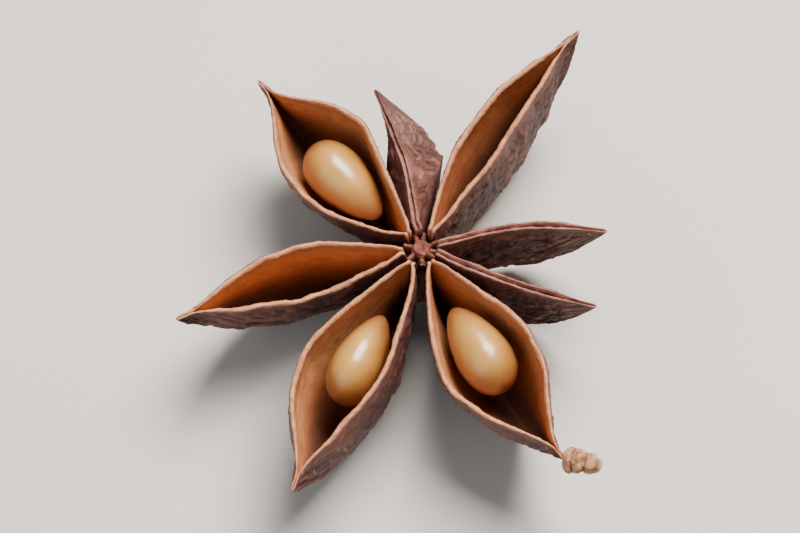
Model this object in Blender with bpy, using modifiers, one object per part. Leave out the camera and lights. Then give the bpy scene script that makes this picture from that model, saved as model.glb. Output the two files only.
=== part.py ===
"""A dried star anise pod: eight boat-shaped follicles round a short column, three of them holding a seed.

The husk is one solid, because the follicles, the column and the broken stalk grow together.
The origin is the flat end of the stalk, where the pod's axis meets the surface that it lies on.
"""

from math import cos, pi, radians, sin, tan
from typing import NamedTuple

import bmesh
import bpy
from mathutils import Matrix, Vector

MM = 0.001

# The column and the stalk, in millimetres.
HUB_HEIGHT = 7.4
HUB_RADIUS = 1.05
BUTTON_RADIUS = 0.62
BUTTON_DROP = 0.12
BUTTON_DOME = 0.05
BUTTON_BEVEL = 0.3
MOAT_DEPTH = 0.9
STALK_RADIUS = 1.0
STALK_LENGTH = 0.7
FLARE_RADIUS = 1.5
FLARE_FOOT = 1.5
FLARE_SHOULDER = 2.3
FLARE_TOP = 3.7
HUB_SIDES = 16

# Shape that all follicles share, in millimetres. Places along one run from 0 at the column to 1 at the tip.
ROOT_REACH = 0.85
ARCH = 0.45
LIP = 0.38
ROOT_LIP = 0.26
WALL = 0.6
FLOOR = 0.85
SHOULDER = 0.45
KEEL_ROUND = 1.05
ROOM_KEEL_SHARE = 0.45
LEAST_OPENING = 0.06
LEAST_ROOM_DEPTH = 0.3
DEEPEST = 0.42
ROOT_DEPTH = 0.76
PRESSED_GAP = 0.05
LEAST_HALF = 0.03
KEPT_HALF = 0.3
KEPT_SHARE = 0.4
SPLIT_START = 0.03
SPLIT_END = 0.95
RIDGE_HALF = 0.28
BEAK_HALF = 0.13
LEAF_ROOT = 0.72
LEAF_DRAWN_OUT = 0.85
KEEL_RISE = 1.25
KEEL_BLUNT = 0.9
WEDGE = 0.3
FULLNESS = 0.9
FULL_OUTWARDS = 1.15
CLOSED_THINNER = 0.4
RIM_FULL_FROM = 0.3
RIM_THINS_OVER = 0.25
LEAN_FULL_FROM = 0.4
TORN_FROM = 0.5
TORN_TO = 0.6
TORN_THINS_FROM = 0.4
TORN_THINS_TO = 0.9

# How finely a follicle is divided.
STATIONS = 18
HALF_STEPS = 6
CAVITY_STATIONS = 14
CAVITY_HALF_STEPS = 5
CUTTER_RISE = 2.5
LIP_TUCK = 0.1
WELD = 0.003


class Follicle(NamedTuple):
    """One boat of the star. Lengths are in millimetres and angles in degrees.

    azimuth is the way its tip points, length runs from the column's axis to the tip, and depth from its
    lips to its keel. gape is how far the lips stand apart, and 0 is a boat that never opened. left_room and
    right_room are the angles to where the next boat on either side begins, and the flanks press flat there.
    bow moves the middle sideways, lean swings the keel sideways, lift raises the tip, swell is how far
    a flank bulges, and torn is the share that is missing from the outer half of a shrivelled boat.
    """

    azimuth: float
    length: float
    depth: float
    gape: float
    left_room: float
    right_room: float
    bow: float = 0.0
    lean: float = 0.0
    lift: float = 1.0
    swell: float = 0.9
    torn: float = 0.0


FOLLICLES = {
    "upper_left": Follicle(133.5, 14.8, 8.1, 5.6, 31.5, 20.5, bow=0.1, lean=-8.0, lift=1.0, swell=0.1),
    "left": Follicle(198.6, 16.0, 8.1, 2.8, 21.4, 33.6, bow=-0.6, lean=-5.0, lift=1.0, swell=0.4),
    "lower_left": Follicle(244.0, 18.1, 8.2, 4.7, 29.0, 24.0, bow=-0.9, lean=8.0, lift=0.8, swell=0.7),
    "lower_right": Follicle(302.0, 16.8, 8.1, 5.3, 24.0, 29.0, bow=-0.5, lean=6.0, lift=0.8, swell=0.1),
    "low_closed": Follicle(339.7, 11.6, 7.0, 0.0, 12.3, 13.7, bow=-0.4, lean=2.0, lift=0.3, swell=0.3),
    "right_closed": Follicle(4.5, 11.6, 7.2, 0.0, 20.0, 12.5, bow=0.7, lean=2.0, lift=0.4, swell=0.3),
    "upper_right": Follicle(54.6, 17.1, 8.2, 2.0, 23.4, 30.1, bow=0.9, lean=-4.0, lift=1.4, swell=0.7),
    "top_closed": Follicle(106.5, 10.3, 8.1, 0.0, 6.5, 28.5, bow=-0.3, lean=-42.0, lift=1.6, torn=0.52),
}


class Seed(NamedTuple):
    """A seed in its boat, in millimetres: its middle along, beside and below the lips, and its size."""

    along: float
    beside: float
    below: float
    length: float
    width: float
    height: float


SEEDS = {
    "upper_left": Seed(6.7, 0.3, 1.9, 6.3, 3.4, 3.9),
    "lower_left": Seed(7.8, 0.27, 2.0, 6.3, 3.1, 4.0),
    "lower_right": Seed(7.2, 0.0, 1.9, 6.3, 3.4, 3.9),
}
SEED_TAPER = 0.3
SEED_SIDES = 20
SEED_RINGS = 14


def unit_span(value, low, high):
    """Where value lies between low and high, held to 0 and 1."""
    return min(1.0, max(0.0, (value - low) / (high - low)))


def leaf(u):
    """Share of the gape at u: straight-sided at the column, and drawn out to a fine point at the tip."""
    s = unit_span(u, SPLIT_START, SPLIT_END)
    return max(0.0, sin(pi * s)) ** (LEAF_ROOT + LEAF_DRAWN_OUT * s)


def belly(u):
    """Share of the full depth at u: deepest a little inside the middle, and nothing at the tip."""
    if u < DEEPEST:
        return ROOT_DEPTH + (1 - ROOT_DEPTH) * sin(pi / 2 * u / DEEPEST)
    out = unit_span(u, DEEPEST, 1.0)
    return cos(pi / 2 * out**KEEL_RISE) ** KEEL_BLUNT


def girth_at(boat, u):
    """Share of the full thickness at u: a wedge at the column, full past the middle, nothing at the tip.

    A boat that never opened dried thinner.
    """
    full = WEDGE * (1 - u) + FULLNESS * max(0.0, sin(pi * u**FULL_OUTWARDS))
    if not boat.gape:
        full *= 1 - CLOSED_THINNER
    return full * (1 - boat.torn * unit_span(u, TORN_THINS_FROM, TORN_THINS_TO))


def depth_at(boat, u):
    """Depth of the boat at u, less what is torn away from a shrivelled one."""
    return boat.depth * belly(u) * (1 - boat.torn * unit_span(u, TORN_FROM, TORN_TO))


def rim_at(boat, u):
    """Thickness of a lip at u, or half the ridge of a closed boat: thin at the column and at the tip."""
    full = LIP if boat.gape else RIDGE_HALF
    root = ROOT_LIP + (full - ROOT_LIP) * unit_span(u, 0.0, RIM_FULL_FROM)
    return root * unit_span(1 - u, 0.0, RIM_THINS_OVER)


def lip_height(boat, u):
    return HUB_HEIGHT + ARCH * sin(pi * u) + boat.lift * u**3


def placed(boat, u, beside, below, wall=0.0):
    """The point at u, that far beside and below the middle of the lips, on a boat that points along +X.

    It stays inside the wedge that the boats on both sides leave, less the thickness of a wall, and a
    boat that leans against the next one keeps some thickness there.
    """
    swing = radians(boat.lean) * unit_span(u, 0.0, LEAN_FULL_FROM)
    along = ROOT_REACH + (boat.length - ROOT_REACH) * u
    left = max(LEAST_HALF, along * tan(radians(boat.left_room)) - PRESSED_GAP - wall)
    right = max(LEAST_HALF, along * tan(radians(boat.right_room)) - PRESSED_GAP - wall)
    kept = min(KEPT_HALF, KEPT_SHARE * (left + right))
    middle = boat.bow * sin(pi * u) + below * sin(swing)
    across = min(left - kept, max(kept - right, middle)) + beside * cos(swing)
    height = lip_height(boat, u) - below * cos(swing) + beside * sin(swing)
    return Vector((along, min(left, max(-right, across)), height)) * MM


def half_section(keel, bulge, lip, depth, shoulder, steps):
    """Points from keel to lip, as (beside, below): a cubic curve with a round keel and a full flank."""
    points = []
    for i in range(steps + 1):
        t = i / steps
        a, b, c, d = (1 - t) ** 3, 3 * (1 - t) ** 2 * t, 3 * (1 - t) * t**2, t**3
        points.append((b * keel + c * bulge + d * lip, (a + b) * depth + c * shoulder))
    return points


def ring_of(half):
    """A whole section from one half: down from the left lip, round the keel, and up to the right lip."""
    left = [(-beside, below) for beside, below in reversed(half)]
    return left + half[1:]


def outer_ring(boat, u):
    """The skin's section at u."""
    opening = boat.gape / 2 * leaf(u)
    lip = max(BEAK_HALF, opening + rim_at(boat, u))
    depth = max(2 * BEAK_HALF, depth_at(boat, u))
    keel = max(BEAK_HALF, KEEL_ROUND * girth_at(boat, u))
    bulge = lip + boat.swell * girth_at(boat, u)
    half = half_section(keel, bulge, lip, depth, SHOULDER * depth, HALF_STEPS)
    return [placed(boat, u, beside, below) for beside, below in ring_of(half)]


def inner_ring(boat, u):
    """The lining's section at u, closed above the lips, with no corner in the plane of the lips."""
    opening = max(LEAST_OPENING, boat.gape / 2 * leaf(u))
    outer_depth = depth_at(boat, u)
    depth = max(LEAST_ROOM_DEPTH, outer_depth - FLOOR)
    keel = max(LEAST_OPENING, ROOM_KEEL_SHARE * KEEL_ROUND * girth_at(boat, u))
    bulge = max(LEAST_OPENING, opening + rim_at(boat, u) + boat.swell * girth_at(boat, u) - WALL)
    half = half_section(keel, bulge, opening, depth, SHOULDER * outer_depth, CAVITY_HALF_STEPS)
    half[-1] = (opening, LIP_TUCK)
    wall = rim_at(boat, u)
    ring = [placed(boat, u, beside, below, wall) for beside, below in ring_of(half)]
    above = [placed(boat, u, side * opening, -CUTTER_RISE, wall) for side in (1, -1)]
    return ring + above


def loft(name, rings, collection, material=None):
    """A closed mesh through rings that all have the same number of points."""
    work = bmesh.new()
    loops = [[work.verts.new(point) for point in ring] for ring in rings]
    for near, far in zip(loops, loops[1:]):
        for i in range(len(near)):
            j = (i + 1) % len(near)
            work.faces.new((near[i], near[j], far[j], far[i]))
    work.faces.new(loops[0])
    work.faces.new(reversed(loops[-1]))
    bmesh.ops.recalc_face_normals(work, faces=work.faces)
    bmesh.ops.triangulate(work, faces=work.faces)
    mesh = bpy.data.meshes.new(name)
    work.to_mesh(mesh)
    work.free()
    made = bpy.data.objects.new(name, mesh)
    collection.objects.link(made)
    if material:
        mesh.materials.append(material)
    return made


def join_with(target, operation, operand):
    """Applies one Boolean, with an object or a whole collection, and removes what it used up."""
    modifier = target.modifiers.new(operation.title(), "BOOLEAN")
    modifier.operation = operation
    modifier.solver = "MANIFOLD"
    used = [operand]
    if isinstance(operand, bpy.types.Collection):
        modifier.operand_type = "COLLECTION"
        modifier.collection = operand
        used = list(operand.objects)
    else:
        modifier.object = operand
    bpy.context.view_layer.update()
    evaluated = target.evaluated_get(bpy.context.evaluated_depsgraph_get())
    target.modifiers.clear()
    joined = bpy.data.meshes.new_from_object(evaluated)
    target.data = joined
    for obj in used:
        bpy.data.objects.remove(obj)


def make_material(name, colour, roughness):
    material = bpy.data.materials.new(name)
    material.use_nodes = True
    shader = material.node_tree.nodes["Principled BSDF"]
    shader.inputs["Base Color"].default_value = (*colour, 1)
    shader.inputs["Roughness"].default_value = roughness
    shader.inputs["Metallic"].default_value = 0.0
    return material


def make_collection(name):
    collection = bpy.data.collections.new(name)
    bpy.context.scene.collection.children.link(collection)
    return collection


def make_column(collection, material):
    """The column with its button, and the broken stalk under it: one turned profile."""
    moat = HUB_HEIGHT - MOAT_DEPTH
    button = HUB_HEIGHT - BUTTON_DROP
    profile = [
        (0.0, button),
        (BUTTON_RADIUS - BUTTON_BEVEL, button - BUTTON_DOME),
        (BUTTON_RADIUS, button - BUTTON_BEVEL),
        (BUTTON_RADIUS, moat),
        (HUB_RADIUS, moat - BUTTON_BEVEL),
        (HUB_RADIUS, FLARE_TOP),
        (FLARE_RADIUS, FLARE_SHOULDER),
        (FLARE_RADIUS, FLARE_FOOT),
        (STALK_RADIUS, STALK_LENGTH),
        (STALK_RADIUS, 0.0),
        (0.0, 0.0),
    ]
    mesh = bpy.data.meshes.new("husk")
    points = [(radius * MM, 0, height * MM) for radius, height in profile]
    mesh.from_pydata(points, [(i, i + 1) for i in range(len(points) - 1)], [])
    mesh.materials.append(material)
    column = bpy.data.objects.new("husk", mesh)
    collection.objects.link(column)
    turn = column.modifiers.new("Turn", "SCREW")
    turn.steps = turn.render_steps = HUB_SIDES
    turn.use_merge_vertices = True
    turn.merge_threshold = 0.00001
    return column


def welded(mesh):
    """Draws together the very short edges and the slivers that a cut leaves."""
    work = bmesh.new()
    work.from_mesh(mesh)
    bmesh.ops.triangulate(work, faces=work.faces)
    bmesh.ops.remove_doubles(work, verts=work.verts, dist=WELD * MM)
    bmesh.ops.dissolve_degenerate(work, edges=work.edges, dist=WELD * MM)
    bmesh.ops.triangulate(work, faces=work.faces)
    work.to_mesh(mesh)
    work.free()


def applied(obj):
    """Replaces the object's mesh by its evaluated one."""
    bpy.context.view_layer.update()
    evaluated = obj.evaluated_get(bpy.context.evaluated_depsgraph_get())
    mesh = bpy.data.meshes.new_from_object(evaluated)
    obj.modifiers.clear()
    obj.data = mesh


def turned(boat):
    return Matrix.Rotation(radians(boat.azimuth), 4, "Z")


def make_boat(name, boat, bodies, cutters, material):
    """One follicle where it stands: the skin's solid, less the room inside where it has split open."""
    rings = [outer_ring(boat, i / STATIONS) for i in range(STATIONS + 1)]
    body = loft(f"boat_{name}", rings, bodies, material)
    body.data.transform(turned(boat))
    if not boat.gape:
        return
    step = (SPLIT_END - SPLIT_START) / CAVITY_STATIONS
    places = [SPLIT_START + step * i for i in range(CAVITY_STATIONS + 1)]
    cutter = loft(f"room_{name}", [inner_ring(boat, u) for u in places], cutters)
    cutter.data.transform(turned(boat))
    join_with(body, "DIFFERENCE", cutter)


def make_curled_beak(boat, bodies, material):
    """The dry beak of the lower right boat, drawn up into a short blunt knob that thins outwards."""
    radius, outwards, sideways, arch, steps = 0.85, 1.7, 1.6, 0.35, 12
    blunt, thinnest, taper = 10.0, 0.3, 0.35
    start, sunk = 0.985, 0.4
    tip = placed(boat, start, 0.0, sunk)
    line = bpy.data.curves.new("curled_beak", "CURVE")
    line.dimensions = "3D"
    line.bevel_depth = radius * MM
    line.bevel_resolution = 2
    line.use_fill_caps = True
    spline = line.splines.new("POLY")
    spline.points.add(steps)
    for i in range(steps + 1):
        share = i / steps
        offset = Vector((outwards * share, sideways * share, arch * sin(pi * share)))
        spline.points[i].co = (*(tip + offset * MM), 1)
        rounded = max(thinnest, min(1.0, blunt * share * (1 - share)) ** 0.5)
        spline.points[i].radius = rounded * (1 - taper * share)
    guide = bpy.data.objects.new("curled_beak", line)
    bodies.objects.link(guide)
    bpy.context.view_layer.update()
    mesh = bpy.data.meshes.new_from_object(guide.evaluated_get(bpy.context.evaluated_depsgraph_get()))
    work = bmesh.new()
    work.from_mesh(mesh)
    bmesh.ops.remove_doubles(work, verts=work.verts, dist=0.00001)
    bmesh.ops.transform(work, matrix=turned(boat), verts=work.verts)
    work.to_mesh(mesh)
    work.free()
    bpy.data.objects.remove(guide)
    mesh.materials.clear()
    mesh.materials.append(material)
    bodies.objects.link(bpy.data.objects.new("curled_beak", mesh))


def make_floor_cutter(collection):
    """A block under the pod: it trims the keels to the small flats that the pod lies on."""
    width, height = 60 * MM, 10 * MM
    under = Matrix.Translation((0, 0, -height / 2)) @ Matrix.Diagonal((width, width, height, 1))
    work = bmesh.new()
    bmesh.ops.create_cube(work, size=1.0, matrix=under)
    mesh = bpy.data.meshes.new("floor_cutter")
    work.to_mesh(mesh)
    work.free()
    block = bpy.data.objects.new("floor_cutter", mesh)
    collection.objects.link(block)
    return block


def make_husk(parts, cutters, material):
    bodies = make_collection("husk bodies")
    for name, boat in FOLLICLES.items():
        make_boat(name, boat, bodies, cutters, material)
    make_curled_beak(FOLLICLES["lower_right"], bodies, material)
    husk = make_column(parts, material)
    applied(husk)
    join_with(husk, "UNION", bodies)
    bpy.data.collections.remove(bodies)
    join_with(husk, "DIFFERENCE", make_floor_cutter(cutters))
    welded(husk.data)
    husk.data.shade_smooth()
    husk.data.set_sharp_from_angle(angle=radians(40))


def make_seed(name, boat, seed, parts, material):
    """An egg-shaped seed, blunt outwards and narrower towards the column, lying along its boat."""
    work = bmesh.new()
    bmesh.ops.create_uvsphere(work, u_segments=SEED_SIDES, v_segments=SEED_RINGS, radius=1.0)
    for vert in work.verts:
        along, beside, height = vert.co.z, vert.co.x, vert.co.y
        taper = 1 + SEED_TAPER * along
        size = Vector((seed.length, taper * seed.width, taper * seed.height)) * MM / 2
        vert.co = Vector((along * size.x, beside * size.y, height * size.z))
    mesh = bpy.data.meshes.new(f"seed_{name}")
    work.to_mesh(mesh)
    work.free()
    mesh.materials.append(material)
    mesh.shade_smooth()
    made = bpy.data.objects.new(f"seed_{name}", mesh)
    u = unit_span(seed.along, ROOT_REACH, boat.length)
    swing = Matrix.Rotation(radians(boat.lean), 4, "X")
    made.matrix_world = turned(boat) @ Matrix.Translation(placed(boat, u, seed.beside, seed.below)) @ swing
    parts.objects.link(made)


def main():
    for obj in list(bpy.data.objects):
        bpy.data.objects.remove(obj)
    parts = make_collection("star anise pod")
    cutters = make_collection("cutters")
    skin = make_material("skin", (0.13, 0.055, 0.04), 0.65)
    shell = make_material("seed", (0.62, 0.36, 0.13), 0.3)
    make_husk(parts, cutters, skin)
    for name, seed in SEEDS.items():
        make_seed(name, FOLLICLES[name], seed, parts, shell)


main()
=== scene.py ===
"""Looks for a dried star anise pod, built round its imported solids. Lengths are in millimetres."""

from math import cos, exp, pi, radians, sin

import bpy
from mathutils import Matrix, Vector, noise


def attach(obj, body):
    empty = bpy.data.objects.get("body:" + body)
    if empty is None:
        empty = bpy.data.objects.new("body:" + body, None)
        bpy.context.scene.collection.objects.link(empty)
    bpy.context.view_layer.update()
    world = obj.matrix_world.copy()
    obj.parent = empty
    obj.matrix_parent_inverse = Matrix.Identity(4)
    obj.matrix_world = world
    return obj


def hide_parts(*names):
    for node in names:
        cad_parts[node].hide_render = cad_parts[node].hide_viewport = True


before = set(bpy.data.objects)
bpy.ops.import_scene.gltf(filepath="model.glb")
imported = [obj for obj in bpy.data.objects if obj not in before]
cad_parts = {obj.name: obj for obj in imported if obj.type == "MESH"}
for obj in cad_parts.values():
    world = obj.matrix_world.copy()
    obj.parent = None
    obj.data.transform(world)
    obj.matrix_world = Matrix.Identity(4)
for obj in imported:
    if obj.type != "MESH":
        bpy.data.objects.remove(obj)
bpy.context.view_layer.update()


# The follicles: eight woody boats grown from one flower, each a folded leaf of dried skin, dark outside with
# a smooth orange lining. Five have split along the upper seam, and their cut lips have dried pale. All are
# joined to the column by their inner edges.

MM = 0.001
DEGREE = pi / 180

# One row for each boat. Gape is how far its lips stand apart, and the rooms are the angles to its neighbours.
FOLLICLE_SIZES = (
    "Azimuth", "Length", "Depth", "Gape", "Left room", "Right room", "Bow", "Lean", "Lift", "Swell", "Torn",
    "Wrinkle", "Seed",
)
FOLLICLES = {
    "upper_left": (133.5, 14.8, 8.1, 5.6, 31.5, 20.5, 0.1, -8.0, 1.0, 0.1, 0.0, 0.11, 1.0),
    "left": (198.6, 16.0, 8.1, 2.8, 21.4, 33.6, -0.6, -5.0, 1.0, 0.4, 0.0, 0.13, 2.0),
    "lower_left": (244.0, 18.1, 8.2, 4.7, 29.0, 24.0, -0.9, 8.0, 0.8, 0.7, 0.0, 0.14, 3.0),
    "lower_right": (302.0, 16.8, 8.1, 5.3, 24.0, 29.0, -0.5, 6.0, 0.8, 0.1, 0.0, 0.12, 4.0),
    "low_closed": (339.7, 11.6, 7.0, 0.0, 12.3, 13.7, -0.4, 2.0, 0.3, 0.3, 0.0, 0.14, 5.0),
    "right_closed": (4.5, 11.6, 7.2, 0.0, 20.0, 12.5, 0.7, 2.0, 0.4, 0.3, 0.0, 0.14, 6.0),
    "upper_right": (54.6, 17.1, 8.2, 2.0, 23.4, 30.1, 0.9, -4.0, 1.4, 0.7, 0.0, 0.16, 7.0),
    "top_closed": (106.5, 10.3, 8.1, 0.0, 6.5, 28.5, -0.5, -42.0, 1.6, 0.9, 0.52, 0.13, 8.0),
}

# The form of every boat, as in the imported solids. Places along it run from 0 at the column to 1 at the tip.
HUB_HEIGHT = 7.4
ROOT_REACH = 0.85
ARCH = 0.45
LIP = 0.38
ROOT_LIP = 0.26
WALL = 0.6
FLOOR = 0.85
SHOULDER = 0.45
KEEL_ROUND = 1.05
KEEL_HOLLOW = 0.45
DEEPEST = 0.42
ROOT_DEPTH = 0.76
SPLIT_START = 0.03
SPLIT_END = 0.95
RIDGE_HALF = 0.28
BEAK_HALF = 0.13
LEAF_ROOT = 0.72
LEAF_DRAWN_OUT = 0.85
KEEL_RISE = 1.25
KEEL_BLUNT = 0.9
WEDGE = 0.3
FULLNESS = 0.9
FULL_OUTWARDS = 1.15
CLOSED_THINNER = 0.4
RIM_FULL_FROM = 0.3
RIM_THINS_OVER = 0.25
LEAN_FULL_FROM = 0.4
TORN_FROM = 0.5
TORN_TO = 0.6
TORN_THINS_FROM = 0.4
TORN_THINS_TO = 0.9
PRESSED_GAP = 0.01
KEPT_HALF = 0.3
KEPT_SHARE = 0.4
OPENING_EASE = 0.8

# The least that each of these may be, so that nothing folds or vanishes.
LEAST_POWER_BASE = 0.0001
LEAST_GAPE = 0.01
LEAST_OPENING = 0.02
LEAST_HALF = 0.03
LEAST_BULGE = 0.05
LEAST_HOLLOW = 0.1
LEAST_HEIGHT = 0.02

# What only the looks have: uneven lips, root knobs, a closed boat's slit, a ragged keel, a slumped flank.
LIP_WANDER = 0.9
WANDER_WAVES = 5.0
LIP_HEAVE = 0.7
HEAVE_WAVES = 6.0
RIM_CROWN = 0.42
KNOB_HEIGHT = 0.2
KNOB_RISES = (0.0, 0.035)
KNOB_FALLS = (0.05, 0.11)
SLIT_DEPTH = 0.28
SLIT_ROOT_END = (0.0, 0.06)
SLIT_TIP_END = (0.0, 0.12)
TORN_WANDER = 0.2
RAGGED = 2.2
RAGGED_WAVES = 9.0
RAGGED_FROM = (0.15, 0.5)
RAGGED_TIP_END = (0.0, 0.3)
SLUMP = 3.2
SLUMP_UP_THE_FLANK = (0.25, 0.6)
SLUMP_TIP_END = (0.02, 0.5)
UNPRESSED = (0.03, 0.8)
TIP_MIDDLE = 0.1

# The sheet that a boat is folded from. Places round it run from 0 at the keel, over the lip, to 1 inside.
STATIONS = 170
SECTION_POINTS = 230
SKIN_ENDS = 0.5
LINING_STARTS = 0.6
LINING_SEAM = (0.94, 0.985)
POLE = 0.018
WELD = 1e-7

# The skin's relief: how fine its waves are, along and round, how they bend, and how sharp and high they are.
GIRTH = 17.0
WARP_WAVES = (0.35, 0.35)
CREASE_WAVES = (0.34, 0.62)
CREASE_WARP = (0.8, 1.6)
CREASE_SHARPNESS = 3.2
CREASE_MIDDLE = 0.35
CREASE_SHARE = 1.5
FINE_WAVES = (1.1, 2.2)
FINE_WARP = (2.0, 0.0)
FINE_SHARPNESS = 3.0
FINE_MIDDLE = 0.4
FINE_SHARE = 0.5
FINE_TONE = 0.35
LUMP_WAVES = (0.55, 0.4)
LUMP_SHARE = 2.2

# The relief of the lips and the lining: how fine and how high.
BEADS = (1.5, 0.2)
FRAY = (4.5, 0.09)
RIPPLE = (0.45, 0.2)
STRAIN = (3.5, 0.03)
STREAK_WAVES = (5.0, 42.0)
STREAK_HEIGHT = 0.07
SKIN_FADES = (SKIN_ENDS - 0.05, SKIN_ENDS + 0.02)
LINING_GROWS = (LINING_STARTS, LINING_STARTS + 0.06)
CALM_END = 0.08
CALM_TIP = 0.06
CALM_CLOSED_TIP = 0.24


class Term:
    """A socket that takes Python's operators: an expression on terms adds the Math nodes that work it out."""

    def __init__(self, bench, socket):
        self.bench = bench
        self.socket = socket

    def math(self, operation, *others):
        inputs = dict(enumerate((self, *others)))
        return self.bench.term("ShaderNodeMath", {"operation": operation}, inputs)

    def flipped(self, operation, other):
        return self.bench.term("ShaderNodeMath", {"operation": operation}, {0: other, 1: self})

    def __add__(self, other):
        return self.math("ADD", other)

    def __sub__(self, other):
        return self.math("SUBTRACT", other)

    def __mul__(self, other):
        return self.math("MULTIPLY", other)

    def __truediv__(self, other):
        return self.math("DIVIDE", other)

    def __pow__(self, other):
        return self.math("POWER", other)

    def __rsub__(self, other):
        return self.flipped("SUBTRACT", other)

    def __rtruediv__(self, other):
        return self.flipped("DIVIDE", other)

    def __neg__(self):
        return self.math("MULTIPLY", -1.0)

    def __abs__(self):
        return self.math("ABSOLUTE")

    def __lt__(self, other):
        return self.math("LESS_THAN", other)

    def __gt__(self, other):
        return self.math("GREATER_THAN", other)

    __radd__ = __add__
    __rmul__ = __mul__

    def sine(self):
        return self.math("SINE")

    def cosine(self):
        return self.math("COSINE")

    def tangent(self):
        return self.math("TANGENT")

    def at_least(self, other):
        return self.math("MAXIMUM", other)

    def at_most(self, other):
        return self.math("MINIMUM", other)

    def span(self, low, high, soft=False):
        """Where the term lies between low and high, held to 0 and 1, and eased at both ends if soft."""
        settings = {"interpolation_type": "SMOOTHSTEP" if soft else "LINEAR"}
        return self.bench.term("ShaderNodeMapRange", settings, {0: self, 1: low, 2: high})


class Bench:
    """One node tree while it is wired, for a shape or for a finish."""

    def __init__(self, tree):
        self.tree = tree

    def node(self, kind, settings=None, inputs=None):
        made = self.tree.nodes.new(kind)
        for name, value in (settings or {}).items():
            setattr(made, name, value)
        for key, value in (inputs or {}).items():
            self.feed(made.inputs[key], value)
        return made

    def feed(self, socket, value):
        if isinstance(value, Term):
            self.tree.links.new(value.socket, socket)
        else:
            socket.default_value = value

    def term(self, kind, settings=None, inputs=None, output=0):
        return Term(self, self.node(kind, settings, inputs).outputs[output])

    def vector(self, x, y, z):
        return self.term("ShaderNodeCombineXYZ", None, {0: x, 1: y, 2: z})

    def parts(self, vector):
        made = self.node("ShaderNodeSeparateXYZ", None, {0: vector})
        return [Term(self, socket) for socket in made.outputs]

    def scaled(self, vector, factor):
        return self.term("ShaderNodeVectorMath", {"operation": "SCALE"}, {0: vector, "Scale": factor})

    def place(self):
        """Each point's own place, in millimetres."""
        if self.tree.type == "GEOMETRY":
            return self.scaled(self.term("GeometryNodeInputPosition"), 1 / MM)
        return self.scaled(self.term("ShaderNodeTexCoord", output="Object"), 1 / MM)

    def grain(self, vector, scale=1.0, detail=2.0, roughness=0.5):
        """Cloudy noise from 0 to 1."""
        inputs = {"Vector": vector, "Scale": scale, "Detail": detail, "Roughness": roughness}
        return self.term("ShaderNodeTexNoise", None, inputs)

    def sway(self, vector, scale=1.0, detail=2.0, roughness=0.5):
        """The same noise, from -0.5 to 0.5."""
        return self.grain(vector, scale, detail, roughness) - 0.5

    def stored(self, name):
        """An attribute that was kept on the mesh."""
        if self.tree.type == "GEOMETRY":
            return self.term("GeometryNodeInputNamedAttribute", {"data_type": "FLOAT"}, {"Name": name})
        return self.term("ShaderNodeAttribute", {"attribute_name": name}, None, output="Fac")

    def store(self, geometry, name, value):
        settings = {"data_type": "FLOAT", "domain": "POINT"}
        inputs = {"Geometry": geometry, "Name": name, "Value": value}
        return self.term("GeometryNodeStoreNamedAttribute", settings, inputs)

    def moved(self, geometry, how, vector, scale=MM):
        """The geometry with its points set to (Position) or shifted by (Offset) a vector times a scale."""
        inputs = {"Geometry": geometry, how: self.scaled(vector, scale)}
        return self.term("GeometryNodeSetPosition", None, inputs)

    def raised(self, geometry, height):
        """The geometry with its points shifted along their normals by a height in millimetres."""
        return self.moved(geometry, "Offset", self.term("GeometryNodeInputNormal"), height * MM)


def between(share, low, high):
    """What lies that share of the way from low to high."""
    return low + (high - low) * share


def new_shape_tree(name, sizes):
    """A Geometry Nodes tree with one named input for each size, and the sockets' identifiers."""
    tree = bpy.data.node_groups.new(name, "GeometryNodeTree")
    tree.interface.new_socket("Geometry", in_out="INPUT", socket_type="NodeSocketGeometry")
    kinds = dict.fromkeys(sizes, "NodeSocketFloat") | {"Finish": "NodeSocketMaterial"}
    identifiers = {}
    for size, kind in kinds.items():
        identifiers[size] = tree.interface.new_socket(size, in_out="INPUT", socket_type=kind).identifier
    tree.interface.new_socket("Geometry", in_out="OUTPUT", socket_type="NodeSocketGeometry")
    bench = Bench(tree)
    entry = bench.node("NodeGroupInput")
    inputs = {socket.name: Term(bench, socket) for socket in entry.outputs if socket.name}
    return tree, bench, inputs, identifiers


def finish_shape_tree(bench, geometry, finish):
    """The tree's last nodes: smooth shading, real geometry and its material."""
    smooth = bench.term("GeometryNodeSetShadeSmooth", None, {"Geometry": geometry})
    real = bench.term("GeometryNodeRealizeInstances", None, {"Geometry": smooth})
    coated = bench.term("GeometryNodeSetMaterial", None, {"Geometry": real, "Material": finish})
    end = bench.node("NodeGroupOutput")
    bench.feed(end.inputs[0], coated)


def shaped(name, tree, identifiers, values):
    """Runs a shape tree on an empty mesh and keeps its result as a plain mesh."""
    guide = bpy.data.objects.new(name + "_guide", bpy.data.meshes.new(name + "_guide"))
    bpy.context.scene.collection.objects.link(guide)
    modifier = guide.modifiers.new("Shape", "NODES")
    modifier.node_group = tree
    for size, value in values.items():
        modifier[identifiers[size]] = value
    bpy.context.view_layer.update()
    mesh = bpy.data.meshes.new_from_object(guide.evaluated_get(bpy.context.evaluated_depsgraph_get()))
    bpy.data.objects.remove(guide)
    mesh.name = name
    piece = bpy.data.objects.new(name, mesh)
    bpy.context.scene.collection.objects.link(piece)
    return piece


def leaf_share(u):
    """How much of its gape a split boat has at u."""
    s = u.span(SPLIT_START, SPLIT_END)
    return (s * pi).sine().at_least(LEAST_POWER_BASE) ** (s * LEAF_DRAWN_OUT + LEAF_ROOT)


def belly_share(u):
    """How much of its depth a boat has at u."""
    rising = between((u * (pi / 2 / DEEPEST)).sine(), ROOT_DEPTH, 1)
    fallen = (u.span(DEEPEST, 1.0) ** KEEL_RISE * (pi / 2)).cosine()
    return between(u > DEEPEST, rising, fallen.at_least(LEAST_POWER_BASE) ** KEEL_BLUNT)


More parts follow.
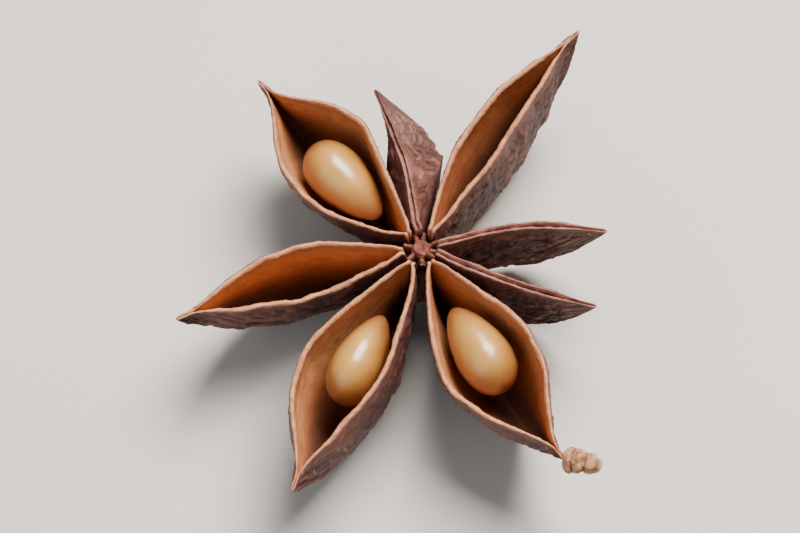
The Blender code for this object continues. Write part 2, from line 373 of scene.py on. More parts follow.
def girth_share(u):
    """How much of its girth a boat has at u."""
    return (1 - u) * WEDGE + (u ** FULL_OUTWARDS * pi).sine().at_least(0.0) * FULLNESS


def slit_share(u):
    """How much of its depth the slit of a closed boat has at u."""
    return (u.span(*SLIT_ROOT_END) * (1 - u).span(*SLIT_TIP_END)) ** 0.5


def rim_thickness(u, full):
    """How thick a lip is at u, where full is the most that it gets."""
    root = between(u.span(0.0, RIM_FULL_FROM), ROOT_LIP, full)
    return root * (1 - u).span(0.0, RIM_THINS_OVER)


def boat_sheet(bench, size):
    """A fine flat grid that keeps each point's place along the boat, round its section, and its side."""
    counts = {"Size X": 1.0, "Size Y": 1.0, "Vertices X": STATIONS, "Vertices Y": SECTION_POINTS}
    sheet = bench.term("GeometryNodeMeshGrid", None, counts)
    x, y, _ = bench.parts(bench.term("GeometryNodeInputPosition"))
    closed = size["Gape"] < LEAST_GAPE
    marks = {
        "along": x + 0.5,
        "round": abs(y) * 2 * (1 - closed * (1 - LINING_STARTS)),
        "side": (y > 0.0) * 2 - 1,
        "closed": closed,
        "torn": size["Torn"],
    }
    for mark, value in marks.items():
        sheet = bench.store(sheet, mark, value)
    return sheet


def folded(bench, size, sheet):
    """The sheet wrapped from the lining over one lip, round the keel, over the other lip and back."""
    u, w, side = bench.stored("along"), bench.stored("round"), bench.stored("side")
    closed = size["Gape"] < LEAST_GAPE
    on_lining = w > LINING_STARTS
    on_rim = (1 - (w < SKIN_ENDS)) * (1 - on_lining)
    midway = (u * pi).sine()
    # The lips dried apart from each other, unevenly. What side and Seed are multiplied by only sets each lip
    # and each boat in a part of the noise of its own.
    wander = bench.sway(bench.vector(u * WANDER_WAVES, side * 1.7, size["Seed"] * 3.1), detail=1.0)
    heave = bench.sway(bench.vector(u * HEAVE_WAVES, side * 2.3 + 9.0, size["Seed"] * 2.3), detail=1.0)

    # The room on each side ends where the next boat begins, and the lips and flanks keep within it.
    rim = rim_thickness(u, between(closed, LIP, RIDGE_HALF))
    swing = size["Lean"] * DEGREE * u.span(0.0, LEAN_FULL_FROM)
    reach = (size["Length"] - ROOT_REACH) * u + ROOT_REACH
    left = reach * (size["Left room"] * DEGREE).tangent() - PRESSED_GAP
    right = reach * (size["Right room"] * DEGREE).tangent() - PRESSED_GAP
    room = (left + right) / 2 + (left - right) / 2 * side
    free = (room - side * size["Bow"] * midway) / swing.cosine() - rim
    wide = leaf_share(u) * (size["Gape"] / 2 + wander * LIP_WANDER * midway)
    opening = wide.math("SMOOTH_MIN", free, OPENING_EASE).at_least(LEAST_OPENING) * (1 - closed)
    lip = (opening + rim).at_least(BEAK_HALF)

    # The shrivelled boat has a ragged keel, where its outer half broke away.
    torn = size["Torn"] * (u + wander * TORN_WANDER).span(TORN_FROM, TORN_TO)
    jag = bench.sway(bench.vector(u * RAGGED_WAVES, size["Seed"], 0.0), detail=3.0, roughness=0.6)
    ragged = jag * size["Torn"] * u.span(*RAGGED_FROM) * (1 - u).span(*RAGGED_TIP_END) * RAGGED + 1
    outer_depth = (size["Depth"] * belly_share(u) * (1 - torn) * ragged).at_least(2 * BEAK_HALF)
    inner_depth = (outer_depth - FLOOR).at_least(LEAST_HOLLOW)
    girth = girth_share(u) * (1 - closed * CLOSED_THINNER)
    girth = girth * (1 - size["Torn"] * u.span(TORN_THINS_FROM, TORN_THINS_TO))
    bulge_out = lip + size["Swell"] * girth
    bulge_in = (bulge_out - WALL).at_least(LEAST_BULGE)
    keel_out = (girth * KEEL_ROUND).at_least(BEAK_HALF)

    # Each half of a section is one cubic curve from the keel, where t is 0, to the lip, where it is 1.
    t = between(on_lining, w.span(0.0, SKIN_ENDS), 1 - w.span(LINING_STARTS, 1.0))
    depth = between(on_lining, outer_depth, inner_depth)
    keel = between(on_lining, keel_out, keel_out * KEEL_HOLLOW)
    bulge = between(on_lining, bulge_out, bulge_in)
    edge = between(on_lining, lip, opening)
    back = 1 - t
    beside = back * back * t * 3 * keel + back * t * t * 3 * bulge + t * t * t * edge
    below = (back * back * back + back * back * t * 3) * depth + back * t * t * 3 * SHOULDER * outer_depth
    over = w.span(SKIN_ENDS, LINING_STARTS)
    beside = between(on_rim, beside, between(over, lip, opening))
    below = between(on_rim, below, (over * pi).sine().at_least(0.0) * rim * -RIM_CROWN)
    near_lip = t * t * t * (1 - on_rim) + on_rim
    # In a boat that never opened the two lips meet at the bottom of a shallow slit.
    slit = closed * over
    below = below - heave * LIP_HEAVE * midway * near_lip * (1 - slit)
    below = below + slit * slit * SLIT_DEPTH * slit_share(u)
    # By the column each lip ends in a small raised knob.
    knob = u.span(*KNOB_RISES, soft=True) * (1 - u.span(*KNOB_FALLS, soft=True))
    below = below - knob * KNOB_HEIGHT * near_lip
    # Both ends are drawn together into a point.
    gather = (u.span(0.0, POLE) * (1 - u).span(0.0, POLE)) ** 0.5
    beside = beside * side * gather
    below = between(gather, outer_depth * 0.5 * (1 - u) + TIP_MIDDLE, below)

    # The section hangs from the boat's bowed and leaning middle line, and is held back at the next boat.
    kept = ((left + right) * KEPT_SHARE).at_most(KEPT_HALF)
    centre = (size["Bow"] * midway + below * swing.sine()).at_least(kept - right).at_most(left - kept)
    # The shrivelled boat slumped over, but under its ridge the left flank still spreads to the next boat.
    standing = (size["Torn"] > 0.0) * (side > 0.0) * t.span(*SLUMP_UP_THE_FLANK, soft=True)
    standing = standing * gather * (1 - over) * (1 - u).span(*SLUMP_TIP_END)
    slump = standing * (back * t * SLUMP - below * swing.sine())
    across = centre + beside * swing.cosine() + slump
    wall = rim * on_lining
    across = across.at_least(-(right - wall).at_least(LEAST_HALF)).at_most((left - wall).at_least(LEAST_HALF))
    lips = (u * pi).sine() * ARCH + size["Lift"] * u * u * u + HUB_HEIGHT
    height = lips - below * swing.cosine() + beside * swing.sine()

    turn = size["Azimuth"] * DEGREE
    east = reach * turn.cosine() - across * turn.sine()
    north = reach * turn.sine() + across * turn.cosine()
    boat = bench.store(sheet, "loose", (left - across).at_most(across + right).span(*UNPRESSED))
    boat = bench.moved(boat, "Position", bench.vector(east, north, height))
    boat = bench.term("GeometryNodeMergeByDistance", None, {"Geometry": boat, "Distance": WELD})
    return bench.term("GeometryNodeFlipFaces", None, {"Mesh": boat})


def creases(bench, course, roughness, sharpness):
    """Narrow furrows, 0 at their bottoms, where a noise passes its middle."""
    return (abs(bench.grain(course, detail=3.0, roughness=roughness) * 2 - 1) * sharpness).at_most(1.0)


def bumps(bench, kind, roughness):
    """Noise through the air round a piece, as fine and as high as its kind says."""
    fineness, height = kind
    return bench.sway(bench.place(), fineness, roughness=roughness) * height


def wrinkled(bench, size, boat):
    """The boat with its skin creased, its lips frayed and its lining rippled."""
    u, w, side = bench.stored("along"), bench.stored("round"), bench.stored("side")

    def course(waves, seed_factor, warp=0.0, bend=(0.0, 0.0)):
        along = u * size["Length"] * waves[0] + warp * bend[0]
        sideways = w * side * GIRTH * waves[1] + warp * bend[1]
        return bench.vector(along, sideways, size["Seed"] * seed_factor)

    # The skin shrank as it dried: long creases run out to the beak, with finer ones between them.
    warp = bench.sway(course(WARP_WAVES, 7.0))
    crease = creases(bench, course(CREASE_WAVES, 5.0, warp, CREASE_WARP), 0.55, CREASE_SHARPNESS)
    fine_crease = creases(bench, course(FINE_WAVES, 4.0, warp, FINE_WARP), 0.6, FINE_SHARPNESS)
    skin_relief = (crease - CREASE_MIDDLE) * CREASE_SHARE + (fine_crease - FINE_MIDDLE) * FINE_SHARE
    skin_relief = (skin_relief + bench.sway(course(LUMP_WAVES, 6.0)) * LUMP_SHARE) * size["Wrinkle"]
    skin_relief = skin_relief * bench.stored("loose")

    rim_relief = bumps(bench, BEADS, 0.6) + bumps(bench, FRAY, 0.6)

    course_of_streaks = bench.vector(u * STREAK_WAVES[0], w * side * STREAK_WAVES[1], size["Seed"])
    streaks = bench.sway(course_of_streaks, detail=3.0, roughness=0.6) * (1 - w.span(*LINING_SEAM))
    lining_relief = bumps(bench, RIPPLE, 0.5) + bumps(bench, STRAIN, 0.5) + streaks * STREAK_HEIGHT

    skin = 1 - w.span(*SKIN_FADES, soft=True)
    lining = w.span(*LINING_GROWS, soft=True)
    rim = (1 - skin) * (1 - lining)
    calm_tip = bench.stored("closed") * CALM_CLOSED_TIP + CALM_TIP
    ends = u.span(0.0, CALM_END) * ((1 - u) / calm_tip).at_most(1.0)
    relief = skin * skin_relief + rim * rim_relief + lining * lining_relief
    boat = bench.store(boat, "crease", between(FINE_TONE, crease, fine_crease))
    return bench.raised(boat, relief * ends)


def follicle_tree():
    """One boat, folded from a sheet, wrinkled, and kept above the surface it lies on."""
    tree, bench, size, identifiers = new_shape_tree("follicle", FOLLICLE_SIZES)
    boat = wrinkled(bench, size, folded(bench, size, boat_sheet(bench, size)))
    east, north, height = bench.parts(bench.place())
    boat = bench.moved(boat, "Position", bench.vector(east, north, height.at_least(LEAST_HEIGHT)))
    finish_shape_tree(bench, boat, size["Finish"])
    return tree, identifiers


def tint(red, green, blue):
    """A colour read off as 0 to 255 in the usual screen scale, in the linear scale that a shader takes."""
    return (*[((c / 255 + 0.055) / 1.055) ** 2.4 for c in (red, green, blue)], 1.0)


DARK_SKIN = tint(98, 52, 44)
WARM_SKIN = tint(136, 76, 61)
# The shrivelled boat's paler skin: partly its own dried colour, partly painted light.
SHRIVELLED_AND_LIT_SKIN = tint(166, 114, 102)
SHADED_FLANK = tint(96, 64, 62)
DUST = tint(158, 107, 92)
STAIN = tint(92, 50, 42)
# Painted shade for the skin's creases.
PAINTED_FURROW_SHADE = tint(36, 21, 22)
SPECK = tint(166, 130, 114)
PALE_DOT = tint(196, 160, 140)
FLUSH = tint(122, 70, 56)
LINING = tint(192, 118, 76)
LIGHT_LINING = tint(210, 136, 88)
STREAK = tint(150, 90, 58)
# Painted shade deep in the lining, and painted light near its lips.
PAINTED_DEEP_SHADE = tint(70, 42, 36)
PAINTED_LIT_LINING = tint(228, 158, 98)
RAW_LIP = tint(222, 158, 114)
TANNED_LIP = tint(184, 116, 82)
LIP_SPECK = tint(142, 82, 58)
LIP_STAIN = tint(146, 88, 66)
RIDGE = tint(176, 120, 102)
DARK_RIDGE = tint(132, 82, 70)
SLIT = tint(70, 38, 34)

# The husk's grains: the scale, the detail and the roughness of each noise.
PATCHES = (0.35, 3.0, 0.55)
MOTTLE = (1.6, 4.0, 0.6)
SPECKS = (7.0, 3.0, 0.6)
POWDER = (18.0, 2.0, 0.6)
LENGTHWISE = (1.0, 4.0, 0.65)
LENGTHWISE_WAVES = (9.0, 70.0)
DOTS_APART = 1.3
HUSK_ROUGHNESS = 0.62
LINING_SMOOTHER = 0.1
RAGGED_EDGE = 0.05


def new_finish(name):
    """A material with its Principled BSDF, and the bench to wire it on."""
    material = bpy.data.materials.new(name)
    material.use_nodes = True
    bench = Bench(material.node_tree)
    return material, bench, material.node_tree.nodes["Principled BSDF"]


def layered(bench, colour, *layers):
    """A colour with others laid over it in turn, each by its share from 0 to 1."""
    settings = {"data_type": "RGBA", "blend_type": "MIX", "clamp_factor": True}
    for share, above in layers:
        colour = bench.term("ShaderNodeMix", settings, {0: share, 6: colour, 7: above}, output=2)
    return colour


def coat(bench, shader, colour, roughness, height, bump, depth):
    """Feeds the shader's colour and roughness, and a bump of the given strength and depth in millimetres."""
    bench.feed(shader.inputs["Base Color"], colour)
    bench.feed(shader.inputs["Roughness"], roughness)
    inputs = {"Strength": bump, "Distance": depth * MM, "Height": height}
    bench.feed(shader.inputs["Normal"], bench.term("ShaderNodeBump", None, inputs))


def husk_finish():
    """Leathery brown-purple dusty skin with painted shade in its creases, pale raw lips, and a satin orange
    lining with painted light and shade.
    """
    material, bench, shader = new_finish("husk")
    u, w, crease = bench.stored("along"), bench.stored("round"), bench.stored("crease")
    side, closed, torn = bench.stored("side"), bench.stored("closed"), bench.stored("torn")
    place = bench.place()
    patches = bench.grain(place, *PATCHES)
    mottle = bench.grain(place, *MOTTLE)
    specks = bench.grain(place, *SPECKS)
    course = bench.vector(u * LENGTHWISE_WAVES[0], w * side * LENGTHWISE_WAVES[1], patches * 2)
    lengthwise = bench.grain(course, *LENGTHWISE)

    dots = bench.term("ShaderNodeTexVoronoi", None, {"Vector": place, "Scale": DOTS_APART})
    dotted = (1 - dots.span(0.1, 0.17)) * patches.span(0.4, 0.6)
    skin = layered(
        bench, DARK_SKIN,
        (patches.span(0.35, 0.68), WARM_SKIN),
        # The shrivelled boat's paler skin is partly its own dried colour and partly painted light on its
        # upturned flank; its left flank gets painted shade.
        (torn, SHRIVELLED_AND_LIT_SKIN),
        ((torn > 0.0) * side.at_least(0.0) * 0.6, SHADED_FLANK),
        (lengthwise.span(0.45, 0.72) * 0.45, DUST),
        (mottle.span(0.45, 0.75) * 0.4, STAIN),
        # Painted shade down the skin's creases.
        ((1 - crease).span(0.1, 0.9) * 0.8, PAINTED_FURROW_SHADE),
        (specks.span(0.62, 0.78) * 0.5, SPECK),
        (dotted * 0.8, PALE_DOT),
        (w.span(SKIN_ENDS - 0.13, SKIN_ENDS, soft=True) * 0.5, FLUSH),
    )
    # Painted light: a brighter golden band of lining just inside the lips, broken up by mottling.
    golden = w.span(LINING_STARTS, LINING_STARTS + 0.05, soft=True) * (1 - w.span(0.66, 0.8, soft=True))
    lining = layered(
        bench, LINING,
        (patches.span(0.3, 0.7), LIGHT_LINING),
        (lengthwise.span(0.4, 0.7) * (1 - w.span(*LINING_SEAM)) * 0.5, STREAK),
        # Painted shade deep inside the boat.
        (w.span(0.68, 0.88, soft=True) * 0.9, PAINTED_DEEP_SHADE),
        (golden * mottle.span(0.3, 0.6) * 0.6, PAINTED_LIT_LINING),
    )
    raw = layered(
        bench, RAW_LIP,
        (mottle.span(0.35, 0.7), TANNED_LIP),
        (specks.span(0.52, 0.75) * 0.55, LIP_SPECK),
        (patches.span(0.5, 0.66) * mottle.span(0.3, 0.6) * 0.6, LIP_STAIN),
    )
    ridge = layered(bench, RIDGE, (mottle.span(0.35, 0.7), DARK_RIDGE), (w.span(0.588, 0.6), SLIT))

    # The skin and the lining meet the lips along ragged edges.
    ragged = (mottle - 0.5) * RAGGED_EDGE
    colour = layered(
        bench, skin,
        ((w + ragged).span(SKIN_ENDS + 0.005, SKIN_ENDS + 0.03), layered(bench, raw, (closed, ridge))),
        ((w - ragged).span(LINING_STARTS - 0.03, LINING_STARTS + 0.012) * (1 - closed), lining),
    )
    inside = w.span(LINING_STARTS, LINING_STARTS + 0.03)
    roughness = HUSK_ROUGHNESS - inside * LINING_SMOOTHER + (mottle - 0.5) * 0.3
    height = specks * 0.5 + bench.grain(place, *POWDER) * 0.35 + lengthwise * 0.6
    coat(bench, shader, colour, roughness, height, bump=0.4, depth=0.06)
    return material


def sizes_of(name):
    """One boat's sizes by their names."""
    return dict(zip(FOLLICLE_SIZES, FOLLICLES[name]))


husk = husk_finish()
boat_tree, boat_sockets = follicle_tree()
for name in FOLLICLES:
    boat = shaped("follicle_" + name, boat_tree, boat_sockets, sizes_of(name) | {"Finish": husk})
    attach(boat, "root")
    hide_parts("husk")


# The column: the woody axis that the follicles grew from, one growth with them. Its top dried to a small
# sunken button with a torn rim, and its foot is the stump of the stalk, snapped off short.

BUTTON_RADIUS = 0.56
BUTTON_DROP = 0.12
MOAT_DEPTH = 0.9
HUB_RADIUS = 1.05
FLARE_RADIUS = 1.5
STALK_RADIUS = 1.0
LEVEL_BELOW = 0.3
STALK_LIFT = 0.01
COLUMN_SIDES = 192
COLUMN_STEPS = 9

# The walls between two follicles stand up in the moat round the button.
SEPTUM_TOP = HUB_HEIGHT - 0.3
SEPTUM_FOOT = HUB_HEIGHT - MOAT_DEPTH - 1.2
SEPTUM_HALF = 0.2
SEPTA = [sizes_of(name)["Azimuth"] + sizes_of(name)["Left room"] for name in FOLLICLES]

# How fine and how high the wood's roughness is: two kinds outwards, and one up and down.
COARSE_BARK = (2.2, 0.16)
FINE_BARK = (6.0, 0.06)
KNOTS = (3.1, 0.16)
KNOTS_APART = Vector((7, 3, 5))

DARK_WOOD = tint(92, 56, 44)
PALE_WOOD = tint(150, 100, 72)
DARK_BUTTON = tint(98, 52, 44)
PALE_BUTTON = tint(150, 92, 74)
# Painted shade in the moat round the button, and the heights where it begins and ends.
PAINTED_MOAT_SHADE = tint(34, 18, 16)
MOAT_SHADE_RISES = (5.2, 6.0)
MOAT_SHADE_ENDS = (6.55, 6.95)
BUTTON_RISES = (6.6, 7.0)
WOOD_MOTTLE = (2.4, 4.0, 0.6)
WOOD_FIBRES = (1.6, 3.0, 0.6)
FIBRES_ACROSS = 3.0
FIBRES_ALONG = 0.6
WOOD_ROUGHNESS = 0.65
WOOD_SHINE = 0.25


def column_finish():
    """Brown wood with a reddish button and painted shade in the moat round it."""
    material, bench, shader = new_finish("column")
    place = bench.place()
    x, y, z = bench.parts(place)
    mottle = bench.grain(place, *WOOD_MOTTLE)
    drawn = bench.vector(x * FIBRES_ACROSS, y * FIBRES_ACROSS, z * FIBRES_ALONG)
    fibres = bench.grain(drawn, *WOOD_FIBRES)
    button = layered(bench, DARK_BUTTON, (mottle.span(0.35, 0.7), PALE_BUTTON))
    colour = layered(
        bench, DARK_WOOD,
        (fibres.span(0.35, 0.7), PALE_WOOD),
        (z.span(*BUTTON_RISES), button),
        # Painted shade in the moat round the button.
        (z.span(*MOAT_SHADE_RISES) * (1 - z.span(*MOAT_SHADE_ENDS)) * 0.9, PAINTED_MOAT_SHADE),
    )
    coat(bench, shader, colour, mottle * 0.2 + WOOD_ROUGHNESS, fibres, bump=0.5, depth=0.08)
    shader.inputs["Specular IOR Level"].default_value = WOOD_SHINE
    return material


def column_profile():
    """The turned outline from the middle of the button down to the middle of the stalk's end."""
    button, moat = HUB_HEIGHT - BUTTON_DROP, HUB_HEIGHT - MOAT_DEPTH
    corners = [
        (0.0, button - 0.1), (0.32, button - 0.02),
        (BUTTON_RADIUS - 0.12, button), (BUTTON_RADIUS, button - 0.2),
        (BUTTON_RADIUS, moat), (HUB_RADIUS, moat - 0.1),
        (HUB_RADIUS, 3.7), (FLARE_RADIUS, 2.3), (FLARE_RADIUS, 1.5),
        (STALK_RADIUS, 0.7), (STALK_RADIUS * 0.97, 0.06), (STALK_RADIUS * 0.9, 0.01), (0.0, 0.06),
    ]
    outline = []
    for (r0, z0), (r1, z1) in zip(corners, corners[1:]):
        for i in range(COLUMN_STEPS):
            share = i / COLUMN_STEPS
            outline.append((r0 + (r1 - r0) * share, z0 + (z1 - z0) * share))
    return outline + [corners[-1]]


def septum_at(angle, radius):
    """How near a point of the moat lies to one of the walls between two follicles, from 0 to 1."""
    beside = min(abs(sin((angle - radians(wall)) / 2)) * 2 * radius for wall in SEPTA)
    return exp(-(beside / SEPTUM_HALF) ** 4)


def bark(spot, kind):
    """Noise through the wood, as fine and as high as its kind says."""
    fineness, height = kind
    return noise.noise(spot * fineness) * height


def column_point(radius, height, angle):
    """A point of the turned outline, roughened, and raised where a wall crosses the moat."""
    spot = Vector((radius * cos(angle), radius * sin(angle), height))
    out = radius * (1 + bark(spot, COARSE_BARK) + bark(spot, FINE_BARK))
    fineness, knot = KNOTS
    rise = noise.noise(spot * fineness + KNOTS_APART) * knot * (LEVEL_BELOW < height)
    in_moat = BUTTON_RADIUS <= radius and SEPTUM_FOOT < height
    rise += septum_at(angle, radius) * in_moat * max(0.0, SEPTUM_TOP - height)
    return out * cos(angle) * MM, out * sin(angle) * MM, max(STALK_LIFT, height + rise) * MM


def make_column(material):
    """The roughened outline turned round, closed by a fan of faces at each end."""
    outline = column_profile()
    rings = outline[1:-1]
    verts = [(0.0, 0.0, outline[0][1] * MM)]
    for radius, height in rings:
        for i in range(COLUMN_SIDES):
            verts.append(column_point(radius, height, 2 * pi * i / COLUMN_SIDES))
    verts.append((0.0, 0.0, outline[-1][1] * MM))
    first, last = 1, 1 + (len(rings) - 1) * COLUMN_SIDES
    faces = []
    for i in range(COLUMN_SIDES):
        j = (i + 1) % COLUMN_SIDES
        faces.append((0, first + i, first + j))
        for a in range(first, last, COLUMN_SIDES):
            b = a + COLUMN_SIDES
            faces.append((a + i, b + i, b + j, a + j))
        faces.append((last + j, last + i, len(verts) - 1))
    mesh = bpy.data.meshes.new("column")
    mesh.from_pydata(verts, [], faces)
    mesh.shade_smooth()
    mesh.materials.append(material)
    piece = bpy.data.objects.new("column", mesh)
    bpy.context.scene.collection.objects.link(piece)
    return piece


column = make_column(column_finish())
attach(column, "root")
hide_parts("husk")


# The curled beak: the lower right follicle ends in a dry, ringed beak that curled back into a pale knob. It
# is the same skin, drawn thin and rolled up as it dried.

BEAK_SIZES = ("Radius", "Outwards", "Sideways", "Arch", "Rings")
BEAK = (0.83, 1.7, 1.6, 0.35, 3.6)
BEAK_BLUNT = 9.0
BEAK_TAPER = 0.35
BEAK_START = 0.985
BEAK_SUNK = 0.4
BEAK_LEAST = 0.02
BEAK_UNEVEN = 0.2
BEAK_LUMPS = 0.5
LUMP_GRAIN = (1.5, 4.0, 0.6)
RING_HEIGHT = 0.2
RING_WANDER = 0.16
RING_ROUND = 0.7
BEAK_STEPS = 160
BEAK_SIDES = 64

BEAK_SKIN = tint(150, 96, 66)
PALE_BEAK = tint(208, 160, 118)
# Painted shade between the beak's rings.
PAINTED_GROOVE_SHADE = tint(104, 58, 46)
PALE_TIP = tint(226, 190, 150)
BEAK_SPECK = tint(120, 78, 54)
BEAK_MOTTLE = (2.2, 4.0, 0.6)
BEAK_DUST = (9.0, 3.0, 0.6)
BEAK_ROUGHNESS = 0.55


def beak_tree():
    """A short blunt tube along a bent path, with raised rings round it."""
    tree, bench, size, identifiers = new_shape_tree("beak", BEAK_SIZES)
    line = bench.term("GeometryNodeCurvePrimitiveLine")
    points = bench.term("GeometryNodeResampleCurve", None, {"Curve": line, "Count": BEAK_STEPS})
    points = bench.store(points, "share", bench.term("GeometryNodeSplineParameter", output="Factor"))
    share = bench.stored("share")
    arch = (share * pi).sine() * size["Arch"]
    path = bench.vector(size["Outwards"] * share, size["Sideways"] * share, arch)
    points = bench.moved(points, "Position", path)
    uneven = bench.sway(bench.vector(share * 5.0, 3.0, 1.0))
    rings = abs(((share + uneven * RING_WANDER) * size["Rings"] * pi).sine()) ** RING_ROUND
    ends = (share * (1 - share) * BEAK_BLUNT).at_least(0.0).at_most(1.0) ** 0.5
    ringed = rings * RING_HEIGHT + (1 - RING_HEIGHT) + uneven * BEAK_UNEVEN
    radius = size["Radius"] * ringed * ends * (1 - share * BEAK_TAPER) * MM + BEAK_LEAST * MM
    circle = bench.term("GeometryNodeCurvePrimitiveCircle", None, {"Resolution": BEAK_SIDES, "Radius": 1.0})
    inputs = {"Curve": points, "Profile Curve": circle, "Scale": radius, "Fill Caps": True}
    tube = bench.term("GeometryNodeCurveToMesh", None, inputs)
    tube = bench.store(tube, "groove", 1 - rings)
    tube = bench.raised(tube, bench.sway(bench.place(), *LUMP_GRAIN) * BEAK_LUMPS)
    finish_shape_tree(bench, tube, size["Finish"])
    return tree, identifiers


def beak_finish():
    """Pale brown, dusty and ringed, with painted shade between the rings."""
    material, bench, shader = new_finish("beak")
    place = bench.place()
    mottle = bench.grain(place, *BEAK_MOTTLE)
    specks = bench.grain(place, *BEAK_DUST)
    colour = layered(
        bench, BEAK_SKIN,
        (mottle.span(0.4, 0.62), PALE_BEAK),
        # Painted shade between the rings.
        (bench.stored("groove").span(0.3, 0.9) * 0.8, PAINTED_GROOVE_SHADE),
        (bench.stored("share").span(0.8, 0.95) * 0.7, PALE_TIP),
        (specks.span(0.55, 0.8) * 0.4, BEAK_SPECK),
    )
    coat(bench, shader, colour, specks * 0.2 + BEAK_ROUGHNESS, specks, bump=0.4, depth=0.06)
    return material


def berth(bearer, share, beside, below):
    """What moves a piece to a place in a follicle: along it, beside its middle line and below its lips."""
    swing = radians(bearer["Lean"])
    lips = HUB_HEIGHT + ARCH * sin(pi * share) + bearer["Lift"] * share**3
    spot = Vector((
        ROOT_REACH + (bearer["Length"] - ROOT_REACH) * share,
        bearer["Bow"] * sin(pi * share) + beside * cos(swing) + below * sin(swing),
        lips - below * cos(swing) + beside * sin(swing),
    ))
    return Matrix.Rotation(radians(bearer["Azimuth"]), 4, "Z") @ Matrix.Translation(spot * MM)


curl_tree, curl_sockets = beak_tree()
beak = shaped("curled_beak", curl_tree, curl_sockets, dict(zip(BEAK_SIZES, BEAK)) | {"Finish": beak_finish()})
beak.data.transform(berth(sizes_of("lower_right"), BEAK_START, 0.0, BEAK_SUNK))
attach(beak, "root")
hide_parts("husk")


# The seeds: three flattened, hard-shelled seeds, each lying loose in its open follicle, blunt end outwards.
# The shell is polished by nature and golden tan, with a painted highlight along its top and painted shade
# round its lower edges. It was attached at its narrow end, and its colour darkens towards that end.

SEED_SIZES = ("Length", "Width", "Height")
# For each seed: how far out it lies, how far beside and below the lips' middle line, and its sizes.
SEEDS = {
    "upper_left": ((6.7, 0.3, 1.9), (6.3, 3.4, 3.9)),
    "lower_left": ((7.8, 0.27, 2.0), (6.3, 3.1, 4.0)),
    "lower_right": ((7.2, 0.0, 1.9), (6.3, 3.4, 3.9)),
}
SEED_TAPER = 0.3
SEED_SWELL = 0.16
SEED_SIDES = 128
SEED_RINGS = 80

SHELL = tint(164, 108, 46)
LIGHT_SHELL = tint(188, 130, 58)
SHELL_MOTTLE = tint(146, 94, 42)
# Painted highlight on the shell's top, and painted shade round its lower edges.
PAINTED_SHELL_HIGHLIGHT = tint(222, 168, 80)
PAINTED_SHELL_SHADE = tint(116, 66, 40)
NARROW_END = tint(116, 70, 34)
SHELL_CLOUDS = (0.55, 3.0, 0.5)
SHELL_GRAIN = (2.6, 4.0, 0.6)
SHELL_ROUGHNESS = 0.3
SHELL_COAT = 1.0
SHELL_COAT_ROUGHNESS = 0.2


def seed_tree():
    """An egg-shaped shell, lying along +X with its blunt end out."""
    tree, bench, size, identifiers = new_shape_tree("seed", SEED_SIZES)
    counts = {"Segments": SEED_SIDES, "Rings": SEED_RINGS, "Radius": 1.0}
    shell = bench.term("GeometryNodeMeshUVSphere", None, counts)
    across, high, out = bench.parts(bench.term("GeometryNodeInputPosition"))
    shell = bench.store(shell, "out", out)
    shell = bench.store(shell, "high", high)
    taper = out * SEED_TAPER + 1
    spot = bench.vector(out * size["Length"], across * taper * size["Width"], high * taper * size["Height"])
    shell = bench.moved(shell, "Position", spot, MM / 2)
    shell = bench.raised(shell, bench.sway(bench.place(), 0.5, detail=1.0) * SEED_SWELL)
    finish_shape_tree(bench, shell, size["Finish"])
    return tree, identifiers


def seed_finish():
    """Polished golden tan shell with faint mottling, a painted highlight along its top, and painted shade,
    darker and warmer, towards its lower edges.
    """
    material, bench, shader = new_finish("seed")
    place = bench.place()
    cloud = bench.grain(place, *SHELL_CLOUDS)
    mottle = bench.grain(place, *SHELL_GRAIN)
    out, high = bench.stored("out"), bench.stored("high")
    colour = layered(
        bench, SHELL,
        (cloud.span(0.3, 0.7), LIGHT_SHELL),
        (mottle.span(0.5, 0.8) * 0.35, SHELL_MOTTLE),
        # Painted highlight along the top of the shell.
        (high.span(0.5, 1.0, soft=True) * 0.6, PAINTED_SHELL_HIGHLIGHT),
        # Painted shade towards the shell's lower half and edges.
        ((1 - high).span(0.25, 0.9, soft=True) * 0.9, PAINTED_SHELL_SHADE),
        ((-out).span(0.3, 1.0) * 0.75, NARROW_END),
    )
    coat(bench, shader, colour, mottle * 0.12 + SHELL_ROUGHNESS, mottle, bump=0.15, depth=0.04)
    shader.inputs["Coat Weight"].default_value = SHELL_COAT
    shader.inputs["Coat Roughness"].default_value = SHELL_COAT_ROUGHNESS
    return material


seed_shell = seed_finish()
kernel_tree, kernel_sockets = seed_tree()
for name, ((along, beside, below), seed_size) in SEEDS.items():
    values = dict(zip(SEED_SIZES, seed_size)) | {"Finish": seed_shell}
    seed = shaped("seed_" + name + "_shell", kernel_tree, kernel_sockets, values)
    bearer = sizes_of(name)
    share = (along - ROOT_REACH) / (bearer["Length"] - ROOT_REACH)
    lean = Matrix.Rotation(radians(bearer["Lean"]), 4, "X")
    seed.data.transform(berth(bearer, share, beside, below) @ lean)
    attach(seed, "root")
    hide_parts("seed_" + name)


# The floor, the lamps and the camera: a pale studio table, one broad lamp high behind on the right, a weaker
# and wider one in front on the left, and a long lens that looks down on the pod from the south.

TABLE_SIZE = 1.2
TABLE_CLOUDS = 60.0
TABLE_ROUGHNESS = 0.7
TABLE_TOP = tint(216, 210, 202)
LIGHT_TABLE_TOP = tint(224, 219, 212)
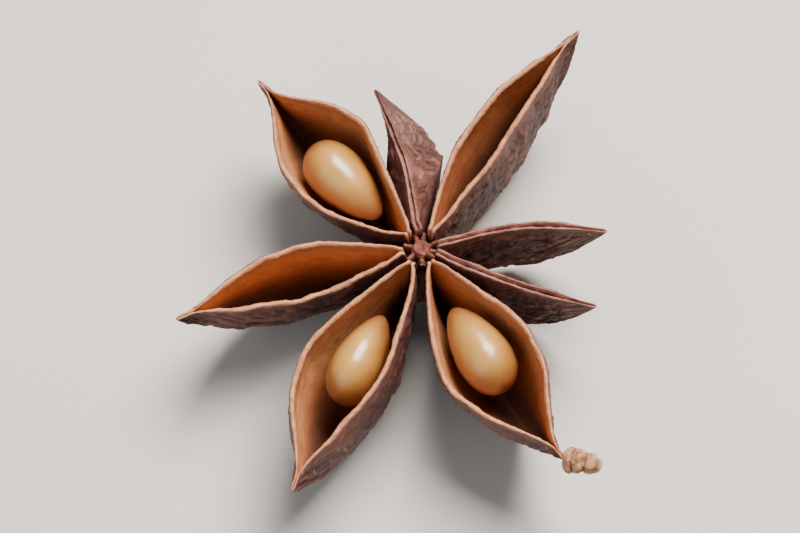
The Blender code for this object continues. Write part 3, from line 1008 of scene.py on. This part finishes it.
# For each lamp: its place in metres, its width, its power and its colour.
LAMPS = {
    "key": ((0.1, 0.18, 0.34), 0.24, 4.3, (1.0, 0.96, 0.9)),
    "fill": ((-0.3, -0.25, 0.3), 0.5, 0.6, (0.92, 0.96, 1.0)),
}
SKY = (0.9, 0.94, 1.0, 1.0)
SKY_STRENGTH = 0.2
AIM = Vector((-1.3, -0.6, 5.5))
ELEVATION = 70.0
DISTANCE = 520.0
LENS = 376.0
NEAREST_SEEN = 0.01

material, bench, shader = new_finish("table")
cloud = bench.grain(bench.term("ShaderNodeTexCoord", output="Object"), TABLE_CLOUDS, 3.0)
bench.feed(shader.inputs["Base Color"], layered(bench, TABLE_TOP, (cloud, LIGHT_TABLE_TOP)))
shader.inputs["Roughness"].default_value = TABLE_ROUGHNESS
sheet = bpy.data.meshes.new("table")
half = TABLE_SIZE / 2
corners = [(-half, -half, 0), (half, -half, 0), (half, half, 0), (-half, half, 0)]
sheet.from_pydata(corners, [], [(0, 1, 2, 3)])
sheet.materials.append(material)
table = bpy.data.objects.new("table", sheet)
bpy.context.scene.collection.objects.link(table)

for name, (place, width, power, colour) in LAMPS.items():
    light = bpy.data.lights.new(name, "AREA")
    light.size = width
    light.energy = power
    light.color = colour
    lamp = bpy.data.objects.new(name, light)
    lamp.location = place
    lamp.rotation_euler = (-Vector(place)).to_track_quat("-Z", "Y").to_euler()
    bpy.context.scene.collection.objects.link(lamp)

world = bpy.data.worlds.new("studio")
world.use_nodes = True
sky = world.node_tree.nodes["Background"]
sky.inputs["Color"].default_value = SKY
sky.inputs["Strength"].default_value = SKY_STRENGTH
bpy.context.scene.world = world

lens = bpy.data.cameras.new("camera")
lens.lens = LENS
lens.clip_start = NEAREST_SEEN
camera = bpy.data.objects.new("camera", lens)
slope = radians(ELEVATION)
back = Vector((0.0, -cos(slope), sin(slope)))
camera.location = (AIM + back * DISTANCE) * MM
camera.rotation_euler = back.to_track_quat("Z", "Y").to_euler()
bpy.context.scene.collection.objects.link(camera)
bpy.context.scene.camera = camera
